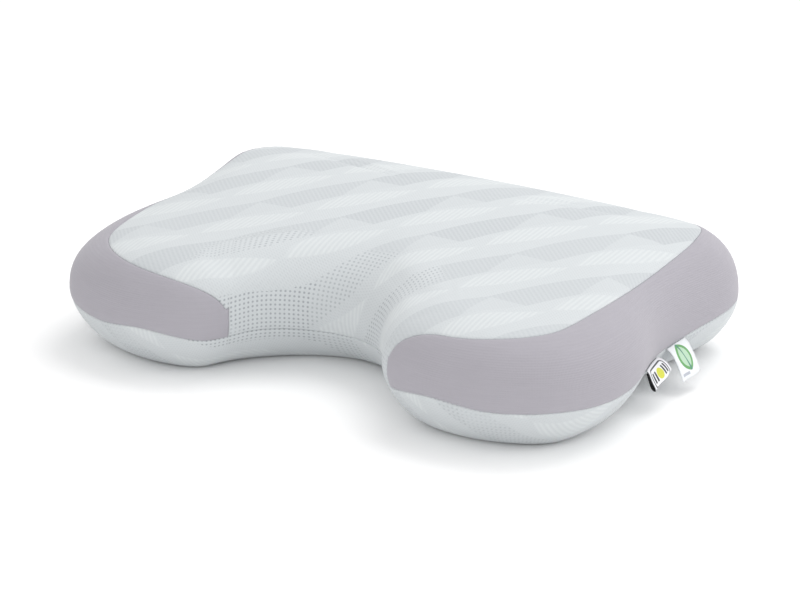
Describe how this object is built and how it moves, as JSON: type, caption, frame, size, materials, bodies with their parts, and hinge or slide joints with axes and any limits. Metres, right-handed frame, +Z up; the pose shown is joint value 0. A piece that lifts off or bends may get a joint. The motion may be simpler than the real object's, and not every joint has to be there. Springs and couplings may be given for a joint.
{
  "type": "contour bed pillow",
  "caption": "Contour memory foam bed pillow with a shoulder cut-out in its front edge, in a knitted cover with plain side panels, a back zip and two side labels.",
  "frame": {"origin": "middle of the bounding box, on the surface the pillow lies on", "axes": "+X along the pillow's width, -Y towards the shoulder cut-out, +Z up"},
  "size_m": [0.6013, 0.4047, 0.1318],
  "materials": {
    "memory_foam": "matte",
    "liner_jersey": "matte",
    "jacquard_knit": "matte",
    "plain_knit": "matte",
    "zip_tape": "matte",
    "zip_coil": "satin",
    "zip_metal": "satin",
    "label_satin": "satin"
  },
  "bodies": {
    "pillow": {"foam_core": "memory_foam", "liner_top": "liner_jersey", "liner_bottom": "liner_jersey", "cover_top_panel": "jacquard_knit", "cover_bottom_panel": "jacquard_knit", "cover_right_side_panel": "plain_knit", "cover_left_side_panel": "plain_knit", "zip_tape_upper": "zip_tape", "zip_tape_lower": "zip_tape", "zip_coil_upper": "zip_coil", "zip_coil_lower": "zip_coil", "zip_stop_closed_end": "zip_metal", "zip_stop_open_end": "zip_metal", "side_label_folded": "label_satin", "side_label_flat": "label_satin"},
    "slider": {"zip_slider": "zip_metal"},
    "pull": {"zip_pull": "zip_metal"}
  },
  "joints": [
    {"name": "zip_slide", "type": "slide", "parent": "pillow", "child": "slider", "axis": [1, 0, 0], "range_m": [0, 0.3042]},
    {"name": "pull_swing", "type": "hinge", "parent": "slider", "child": "pull", "pos_m": [-0.1521, 0.1993, 0.04281], "axis": [0, 0.3599, 0.933], "range_deg": [0, 180]}
  ]
}
